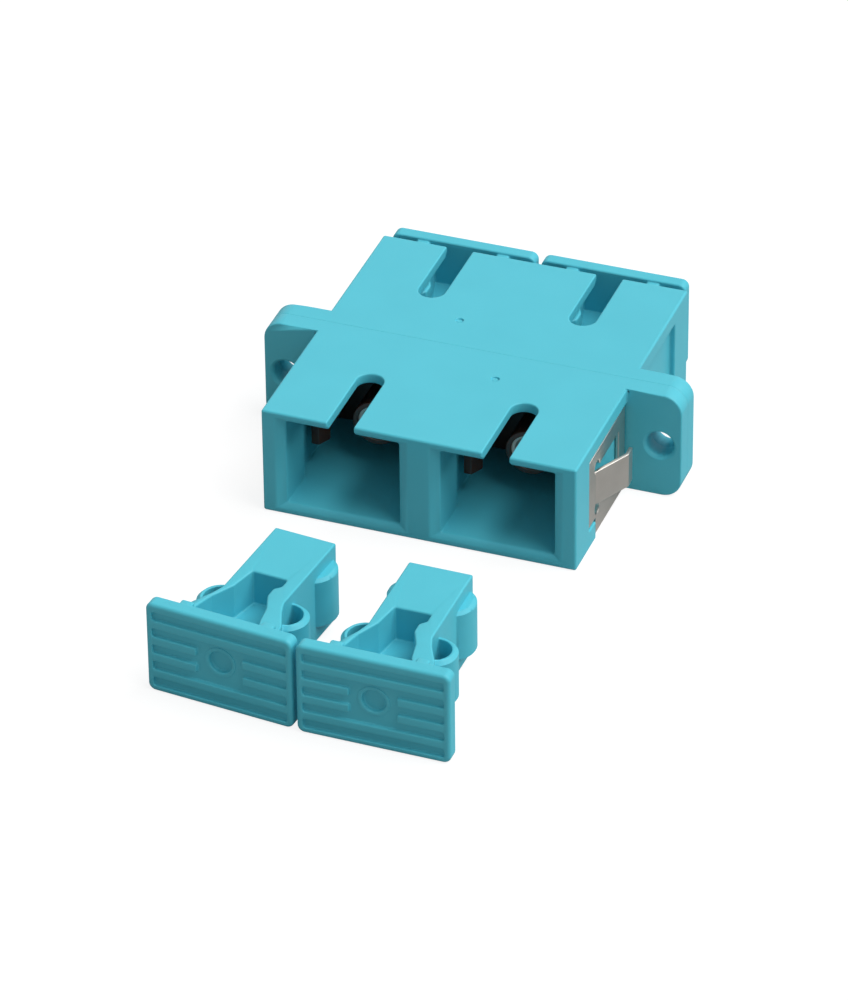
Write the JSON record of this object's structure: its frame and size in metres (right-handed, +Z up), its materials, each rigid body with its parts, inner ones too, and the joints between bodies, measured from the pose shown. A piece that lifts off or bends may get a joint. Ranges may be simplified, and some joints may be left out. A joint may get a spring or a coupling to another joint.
{
  "type": "duplex fibre optic adapter",
  "caption": "Flanged duplex adapter that joins fibre connectors end to end, with a sprung panel clip, split alignment sleeves, latch arms, and dust plugs both fitted and loose.",
  "frame": {"origin": "on the flat underside, midway between the two ports, at the joint between the two housing halves", "axes": "+X across the two ports, +Y along the fibre from the open front ports to the plugged rear ports, +Z up to the side with the key slots"},
  "size_m": [0.0348, 0.0562, 0.0093],
  "materials": {
    "aqua_housing": "fine satin moulding, aqua",
    "plug_plastic": "satin moulding, aqua, slightly waxy",
    "clip_steel": "bare stamped spring steel, satin",
    "sleeve_zirconia": "ground white ceramic",
    "latch_resin": "dark brown engineering resin"
  },
  "bodies": {
    "adapter": {"front_housing": "aqua_housing", "rear_housing": "aqua_housing", "panel_clip": "clip_steel", "front_left_latch_holder": "latch_resin", "front_right_latch_holder": "latch_resin", "rear_left_latch_holder": "latch_resin", "rear_right_latch_holder": "latch_resin", "left_sleeve": "sleeve_zirconia", "right_sleeve": "sleeve_zirconia"},
    "left_tongue": {"left_clip_tongue": "clip_steel"},
    "right_tongue": {"right_clip_tongue": "clip_steel"},
    "front_left_outer_arm_body": {"front_left_outer_arm": "latch_resin"},
    "front_left_inner_arm_body": {"front_left_inner_arm": "latch_resin"},
    "front_right_outer_arm_body": {"front_right_outer_arm": "latch_resin"},
    "front_right_inner_arm_body": {"front_right_inner_arm": "latch_resin"},
    "rear_left_outer_arm_body": {"rear_left_outer_arm": "latch_resin"},
    "rear_left_inner_arm_body": {"rear_left_inner_arm": "latch_resin"},
    "rear_right_outer_arm_body": {"rear_right_outer_arm": "latch_resin"},
    "rear_right_inner_arm_body": {"rear_right_inner_arm": "latch_resin"},
    "rear_left_plug_body": {"rear_left_plug": "plug_plastic"},
    "rear_right_plug_body": {"rear_right_plug": "plug_plastic"},
    "loose_left_plug_body": {"loose_left_plug": "plug_plastic"},
    "loose_right_plug_body": {"loose_right_plug": "plug_plastic"}
  },
  "joints": [
    {"name": "left_tongue_press", "type": "hinge", "parent": "adapter", "child": "left_tongue", "pos_m": [-0.01266, -0.0085, 0.00445], "axis": [0, 0, -1], "range_deg": [0, 18], "stiffness_Nm_per_rad": 0.05},
    {"name": "right_tongue_press", "type": "hinge", "parent": "adapter", "child": "right_tongue", "pos_m": [0.01266, -0.0085, 0.00445], "axis": [0, 0, 1], "range_deg": [0, 18], "stiffness_Nm_per_rad": 0.05},
    {"name": "front_left_outer_arm_flex", "type": "hinge", "parent": "adapter", "child": "front_left_outer_arm_body", "pos_m": [-0.01073, -0.00128, 0.00465], "axis": [0, 0, -1], "range_deg": [0, 4], "stiffness_Nm_per_rad": 0.02},
    {"name": "front_left_inner_arm_flex", "type": "hinge", "parent": "adapter", "child": "front_left_inner_arm_body", "pos_m": [-0.00198, -0.00128, 0.00465], "axis": [0, 0, 1], "range_deg": [0, 4], "stiffness_Nm_per_rad": 0.02},
    {"name": "front_right_outer_arm_flex", "type": "hinge", "parent": "adapter", "child": "front_right_outer_arm_body", "pos_m": [0.01073, -0.00128, 0.00465], "axis": [0, 0, 1], "range_deg": [0, 4], "stiffness_Nm_per_rad": 0.02},
    {"name": "front_right_inner_arm_flex", "type": "hinge", "parent": "adapter", "child": "front_right_inner_arm_body", "pos_m": [0.00198, -0.00128, 0.00465], "axis": [0, 0, -1], "range_deg": [0, 4], "stiffness_Nm_per_rad": 0.02},
    {"name": "rear_left_outer_arm_flex", "type": "hinge", "parent": "adapter", "child": "rear_left_outer_arm_body", "pos_m": [-0.01073, 0.00128, 0.00465], "axis": [0, 0, 1], "range_deg": [0, 4], "stiffness_Nm_per_rad": 0.02},
    {"name": "rear_left_inner_arm_flex", "type": "hinge", "parent": "adapter", "child": "rear_left_inner_arm_body", "pos_m": [-0.00198, 0.00128, 0.00465], "axis": [0, 0, -1], "range_deg": [0, 4], "stiffness_Nm_per_rad": 0.02},
    {"name": "rear_right_outer_arm_flex", "type": "hinge", "parent": "adapter", "child": "rear_right_outer_arm_body", "pos_m": [0.01073, 0.00128, 0.00465], "axis": [0, 0, -1], "range_deg": [0, 4], "stiffness_Nm_per_rad": 0.02},
    {"name": "rear_right_inner_arm_flex", "type": "hinge", "parent": "adapter", "child": "rear_right_inner_arm_body", "pos_m": [0.00198, 0.00128, 0.00465], "axis": [0, 0, 1], "range_deg": [0, 4], "stiffness_Nm_per_rad": 0.02},
    {"name": "rear_left_plug_pull", "type": "slide", "parent": "adapter", "child": "rear_left_plug_body", "axis": [0, 1, 0], "range_m": [0, 0.02]},
    {"name": "rear_right_plug_pull", "type": "slide", "parent": "adapter", "child": "rear_right_plug_body", "axis": [0, 1, 0], "range_m": [0, 0.02]},
    {"name": "loose_left_plug_push", "type": "slide", "parent": "adapter", "child": "loose_left_plug_body", "axis": [0, 1, 0], "range_m": [0, 0.01]},
    {"name": "loose_right_plug_push", "type": "slide", "parent": "adapter", "child": "loose_right_plug_body", "axis": [0, 1, 0], "range_m": [0, 0.01]}
  ]
}
